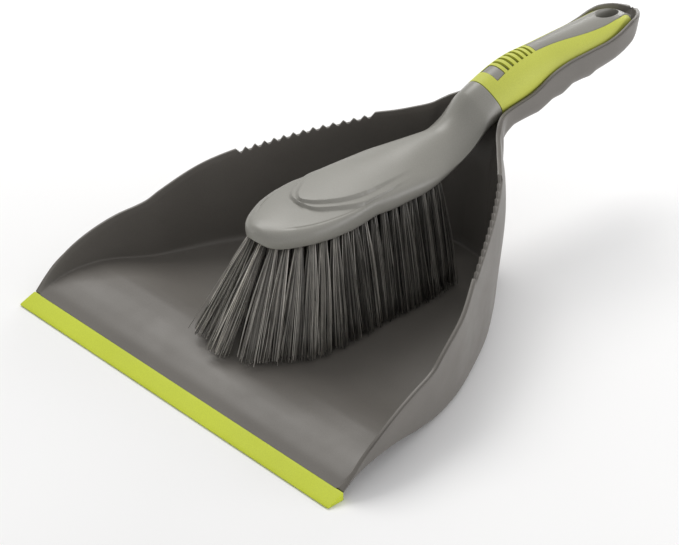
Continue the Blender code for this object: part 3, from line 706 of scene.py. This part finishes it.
def make_grip(finish):
    """The sleeve: an outer and an inner layer of cells, joined wherever a cell has no neighbour."""
    stations, bridged = grip_stations()
    outer = [whole_ring(grip_path(stations[0], LEADING_EDGE_DROP))]
    outer += [whole_ring(grip_path(at, 0.0)) for at in stations[1:]]
    inner = [whole_ring(grip_path(at, GRIP_THICKNESS)) for at in stations]
    size = len(outer[0])
    layer = len(stations) * size
    middle = size // 2
    top = range(middle - WINDOW_COLUMNS, middle + WINDOW_COLUMNS)

    def solid(k, j):
        if not 0 <= k < len(stations) - 1:
            return False
        if j not in top:
            return True
        centre = (stations[k] + stations[k + 1]) / 2
        return any(start < centre < end for start, end in bridged)

    faces = []
    for k in range(len(stations) - 1):
        for j in range(size):
            if not solid(k, j):
                continue
            after = (j + 1) % size
            a, b, c, d = k * size + j, k * size + after, (k + 1) * size + after, (k + 1) * size + j
            faces += [(a, b, c, d), (a + layer, d + layer, c + layer, b + layer)]
            if not solid(k - 1, j):
                faces.append((a, a + layer, b + layer, b))
            if not solid(k + 1, j):
                faces.append((d, c, c + layer, d + layer))
            if not solid(k, (j - 1) % size):
                faces.append((a, d, d + layer, a + layer))
            if not solid(k, after):
                faces.append((b, b + layer, c + layer, c))
    points = np.concatenate(outer + inner)
    grip = add_piece("grip_sleeve", points, faces, "brush", ["brush_grip"], finish)
    cut_hole(grip, SLEEVE_HOLE_MARGIN)
    bevel = grip.modifiers.new("soft edges", "BEVEL")
    bevel.width = GRIP_BEVEL * MM
    bevel.segments = 2
    bevel.limit_method = "ANGLE"
    bevel.angle_limit = GRIP_BEVEL_ANGLE


# ---- Bristles ----


def loop_point(at):
    return np.array([max(0.0, brush_half(at) - TUFT_INSET), at])


def outer_row():
    """Roots of the outer row's right half, a pitch apart along the outline, from the nose on."""
    trail = [np.array([0, TUFT_NOSE])] + [loop_point(ROW_START + ROW_STEP * k) for k in range(ROW_PLACES)]
    found = [trail[0]]
    travelled = 0.0
    for before, after in zip(trail, trail[1:]):
        travelled += np.linalg.norm(after - before)
        if travelled >= TUFT_PITCH * len(found):
            found.append(after)
        if len(found) == TUFT_SIDE_COUNT + 1:
            break
    return found


def outline_normal(root):
    if root[0] == 0:
        return np.array([0.0, -1.0])
    run = loop_point(root[1] + 0.5) - loop_point(root[1] - 0.5)
    return unit(np.array([run[1], -run[0]]))


def floor_top(at):
    return middle_z(at) + pan_thickness(at)


def tuft_line(root, way, splay):
    """A tuft's root at the head's underside and its tip just above the pan's floor."""
    tip = root + way * splay + np.array([0, -tuft_forward(root[1])])
    return (np.array([root[0], root[1], brush_under(HEAD_MIDDLE)]),
            np.array([tip[0], tip[1], floor_top(tip[1]) + TUFT_FLOOR_GAP]))


def all_tufts():
    tufts = []
    roots = outer_row()
    tufts.append(("tuft_nose", *tuft_line(roots[0], outline_normal(roots[0]), TUFT_NOSE_SPLAY)))
    for number, root in enumerate(roots[1:], 1):
        way = outline_normal(root)
        for side, sign in (("right", 1), ("left", -1)):
            flip = np.array([sign, 1])
            tufts.append((f"tuft_{side}_{number:02d}",
                          *tuft_line(root * flip, way * flip, tuft_splay(root[1]))))
    for number in range(TUFT_INNER_COUNT):
        sign = 1 if number % 2 == 0 else -1
        root = np.array([sign * TUFT_INNER_HALF, TUFT_INNER_START + TUFT_PITCH * number])
        tufts.append((f"tuft_inner_{number + 1:02d}",
                      *tuft_line(root, np.array([sign, 0]), TUFT_INNER_SPLAY)))
    return tufts


def make_tuft(name, root, tip, finish, chance):
    """A bundle of fine filaments that leave one hole together and spread towards their tips."""
    way = unit(tip - root)
    side = unit(np.cross(way, (0, 1, 0)))
    other = np.cross(way, side)
    points = []
    faces = []
    shades = []
    tuft_shade = chance.uniform(*TUFT_SHADES)
    # Painted light and shade: tufts near the nose are made lighter, and tufts further back darker.
    tone = tuft_painted_light(root[1])
    for number in range(FILAMENTS):
        radius = math.sqrt((number + 0.5) / FILAMENTS)
        turn = number * GOLDEN_ANGLE + chance.uniform(-TURN_CHANCE, TURN_CHANCE)
        u = radius * math.cos(turn)
        v = radius * math.sin(turn)
        spread = chance.gauss(1, SPREAD_CHANCE) * tip_spread(root[1])
        outwards = side * u + other * v
        start = root - way * FILAMENT_ROOT_DEPTH + outwards * TUFT_ROOT_RADIUS
        end = tip + side * (u * spread + chance.gauss(0, TIP_CHANCE))
        end = end + other * (v * spread + chance.gauss(0, TIP_CHANCE))
        end = end + way * min(0.0, chance.gauss(*CUT_CHANCE))
        end[2] = max(end[2], floor_top(end[1]) + FILAMENT_FLOOR_GAP)
        bow = side * chance.gauss(0, BOW_CHANCE) + other * chance.gauss(0, BOW_CHANCE)
        bow = bow + outwards * FILAMENT_BOW
        rings = []
        for k in range(FILAMENT_SEGMENTS + 1):
            t = k / FILAMENT_SEGMENTS
            centre = start + (end - start) * t + bow * math.sin(math.pi * t)
            angles = [2 * math.pi * corner / FILAMENT_SIDES + turn for corner in range(FILAMENT_SIDES)]
            rings.append([centre + (side * math.cos(angle) + other * math.sin(angle)) * FILAMENT_RADIUS
                          for angle in angles])
        strand, strand_faces = loft(rings)
        faces += [tuple(len(points) + corner for corner in face) for face in strand_faces]
        points += list(strand)
        shades += [tuft_shade * chance.choice(STRAND_SHADES) * tone] * len(strand)
    mesh = make_mesh("bristles_" + name, points, faces)
    # Each strand's shade carries its tuft's painted light and shade along with its own random tone.
    shade_layer = mesh.attributes.new("strand_shade", "FLOAT", "POINT")
    shade_layer.data.foreach_set("value", shades)
    mesh.materials.append(finish)
    piece = bpy.data.objects.new("bristles_" + name.removeprefix("tuft_"), mesh)
    bpy.context.scene.collection.objects.link(piece)
    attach(piece, "brush")
    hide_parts(name)


# ---- Materials ----

PAN_GREY = (0.15, 0.139, 0.125)
LIP_LIME = (0.58, 0.655, 0.045)
BRUSH_GREY = (0.255, 0.248, 0.222)
GRIP_LIME = (0.54, 0.57, 0.095)
BRISTLE_GREY = (0.2, 0.19, 0.172)
FLOOR_WHITES = ((0.91, 0.91, 0.915), (0.93, 0.93, 0.932))

# Nearly all values of a noise texture lie between these two.
NOISE_LOW = 0.3
NOISE_HIGH = 0.7


class Finish:
    """A procedural material, built node by node."""

    def __init__(self, name):
        self.material = bpy.data.materials.new(name)
        self.material.use_nodes = True
        self.tree = self.material.node_tree
        self.shader = self.tree.nodes["Principled BSDF"]
        self.place = self.tree.nodes.new("ShaderNodeTexCoord").outputs["Object"]

    def add(self, kind, **settings):
        node = self.tree.nodes.new(kind)
        for key, value in settings.items():
            if key in node.inputs:
                node.inputs[key].default_value = value
            else:
                setattr(node, key, value)
        return node

    def link(self, source, target):
        self.tree.links.new(source, target)

    def noise(self, scale, detail, rough=0.5):
        node = self.add("ShaderNodeTexNoise", Scale=scale, Detail=detail, Roughness=rough)
        self.link(self.place, node.inputs["Vector"])
        return node.outputs["Fac"]

    def ramp(self, source, low, high):
        """Spreads a noise over the values from low to high."""
        node = self.add("ShaderNodeMapRange", **{"From Min": NOISE_LOW, "From Max": NOISE_HIGH,
                                                 "To Min": low, "To Max": high})
        self.link(source, node.inputs["Value"])
        return node.outputs["Result"]

    def grey(self, value):
        """A colour with the same value in all three channels."""
        node = self.add("ShaderNodeCombineColor")
        for socket in node.inputs[:3]:
            self.link(value, socket)
        return node.outputs[0]

    def mix(self, factor, first, second, blend="MIX"):
        node = self.add("ShaderNodeMix", data_type="RGBA", blend_type=blend)
        for socket, value in ((node.inputs[0], factor), (node.inputs[6], first), (node.inputs[7], second)):
            if isinstance(value, bpy.types.NodeSocket):
                self.link(value, socket)
            elif isinstance(value, (int, float)):
                socket.default_value = value
            else:
                socket.default_value = (*value, 1)
        return node.outputs[2]

    def bump(self, *layers):
        """Each layer is a height, its strength and its distance in metres, and they add up."""
        normal = None
        for height, strength, distance in layers:
            node = self.add("ShaderNodeBump", Strength=strength, Distance=distance)
            self.link(height, node.inputs["Height"])
            if normal:
                self.link(normal, node.inputs["Normal"])
            normal = node.outputs["Normal"]
        self.link(normal, self.shader.inputs["Normal"])


def moulded_plastic(name, colour, roughness, specular, grain=1.0, cloud=0.05):
    """Satin moulded plastic: faint clouding, a fine spark-eroded grain and slight sink marks."""
    made = Finish(name)
    darker = tuple(c * (1 - cloud) for c in colour)
    lighter = tuple(c * (1 + cloud) for c in colour)
    tone = made.mix(made.ramp(made.noise(28, 3), 0, 1), darker, lighter)
    speckle = made.grey(made.ramp(made.noise(2600, 1), 0.94, 1.06))
    made.link(made.mix(1.0, tone, speckle, "MULTIPLY"), made.shader.inputs["Base Color"])
    made.link(made.ramp(made.noise(60, 2), roughness - 0.04, roughness + 0.05),
              made.shader.inputs["Roughness"])
    made.shader.inputs["Specular IOR Level"].default_value = specular
    made.bump((made.noise(9, 1), 0.25, 0.0012), (made.noise(1500, 2, 0.6), 0.16 * grain, 0.00012))
    return made.material


def bristle_plastic(name, colour):
    """Synthetic filament: each strand has its own shade, which also holds its tuft's painted light and
    shade, with faint patches over the whole brush.
    """
    made = Finish(name)
    strand = made.add("ShaderNodeAttribute", attribute_name="strand_shade")
    patches = made.grey(made.ramp(made.noise(140, 2), 0.85, 1.15))
    tone = made.mix(1.0, colour, made.grey(strand.outputs["Fac"]), "MULTIPLY")
    made.link(made.mix(1.0, tone, patches, "MULTIPLY"), made.shader.inputs["Base Color"])
    made.link(made.ramp(made.noise(300, 1), 0.32, 0.46), made.shader.inputs["Roughness"])
    made.shader.inputs["Specular IOR Level"].default_value = 0.5
    made.bump((made.noise(900, 1), 0.1, 0.0001))
    return made.material


def floor_material():
    made = Finish("pale_floor")
    made.link(made.mix(made.ramp(made.noise(3, 2), 0, 1), *FLOOR_WHITES), made.shader.inputs["Base Color"])
    made.shader.inputs["Roughness"].default_value = 0.7
    made.shader.inputs["Specular IOR Level"].default_value = 0.2
    return made.material


# ---- Stage ----

# The camera's place in metres, its turn, rise and roll in degrees, and its lens in millimetres.
CAMERA_AT = (0.7259, -0.7277, 0.6542)
CAMERA_TURN = 46.966
CAMERA_RISE = 32.472
CAMERA_ROLL = -0.164
CAMERA_LENS = 127.18
CAMERA_SENSOR = 36.0
CAMERA_CLIP_START = 0.01

FLOOR_HALF = 6.0
FLOOR_DROP = 0.0003
WORLD_STRENGTH = 0.6

# Each light's name, place, target, size, power in watts and colour. Lengths are metres.
LIGHTS = [("key", (-0.85, 0.4, 1.3), (0, 0, 0.03), (0.9, 0.9), 13, (1, 0.99, 0.965)),
          ("fill", (1.15, 0.75, 0.38), (0, 0, 0.05), (1.2, 0.5), 6, (0.99, 0.98, 1)),
          ("rim", (-0.6, 1.3, 0.42), (0, 0.03, 0.07), (0.8, 0.25), 5, (1, 1, 1))]


def make_camera():
    turn, rise = math.radians(CAMERA_TURN), math.radians(CAMERA_RISE)
    back = Vector((math.sin(turn) * math.cos(rise), -math.cos(turn) * math.cos(rise), math.sin(rise)))
    right = Vector((math.cos(turn), math.sin(turn), 0))
    up = back.cross(right)
    roll = math.radians(CAMERA_ROLL)
    right, up = (right * math.cos(roll) + up * math.sin(roll), up * math.cos(roll) - right * math.sin(roll))
    data = bpy.data.cameras.new("camera")
    data.lens = CAMERA_LENS
    data.sensor_width = CAMERA_SENSOR
    data.clip_start = CAMERA_CLIP_START
    camera = bpy.data.objects.new("camera", data)
    camera.matrix_world = Matrix.Translation(CAMERA_AT) @ Matrix((right, up, back)).transposed().to_4x4()
    bpy.context.scene.collection.objects.link(camera)
    bpy.context.scene.camera = camera


def add_light(name, at, target, size, power, colour):
    data = bpy.data.lights.new(name, "AREA")
    data.shape = "RECTANGLE"
    data.size, data.size_y = size
    data.energy = power
    data.color = colour
    light = bpy.data.objects.new(name, data)
    light.location = at
    light.rotation_euler = (Vector(target) - Vector(at)).to_track_quat("-Z", "Y").to_euler()
    bpy.context.scene.collection.objects.link(light)


def make_stage():
    mesh = bpy.data.meshes.new("floor")
    corners = [(x * FLOOR_HALF, y * FLOOR_HALF, 0) for x, y in ((-1, -1), (1, -1), (1, 1), (-1, 1))]
    mesh.from_pydata(corners, [], [(0, 1, 2, 3)])
    mesh.materials.append(floor_material())
    floor = bpy.data.objects.new("floor", mesh)
    floor.location.z = -FLOOR_DROP
    bpy.context.scene.collection.objects.link(floor)
    world = bpy.data.worlds.new("studio")
    world.use_nodes = True
    background = world.node_tree.nodes["Background"]
    background.inputs["Color"].default_value = (1, 1, 1, 1)
    background.inputs["Strength"].default_value = WORLD_STRENGTH
    bpy.context.scene.world = world
    for light in LIGHTS:
        add_light(*light)
    bpy.context.scene.view_settings.view_transform = "Standard"
    bpy.context.scene.view_settings.look = "None"


def main():
    make_camera()
    make_stage()
    make_pan(moulded_plastic("pan_grey", PAN_GREY, 0.42, 0.36))
    make_lip(moulded_plastic("lip_lime", LIP_LIME, 0.5, 0.25, grain=0.6, cloud=0.03))
    make_brush(moulded_plastic("brush_grey", BRUSH_GREY, 0.38, 0.5, cloud=0.03))
    make_grip(moulded_plastic("grip_lime", GRIP_LIME, 0.55, 0.3, grain=1.5, cloud=0.03))
    bristle_finish = bristle_plastic("bristle_grey", BRISTLE_GREY)
    chance = random.Random(SEED)
    for name, root, tip in all_tufts():
        make_tuft(name, root, tip, bristle_finish, chance)


main()
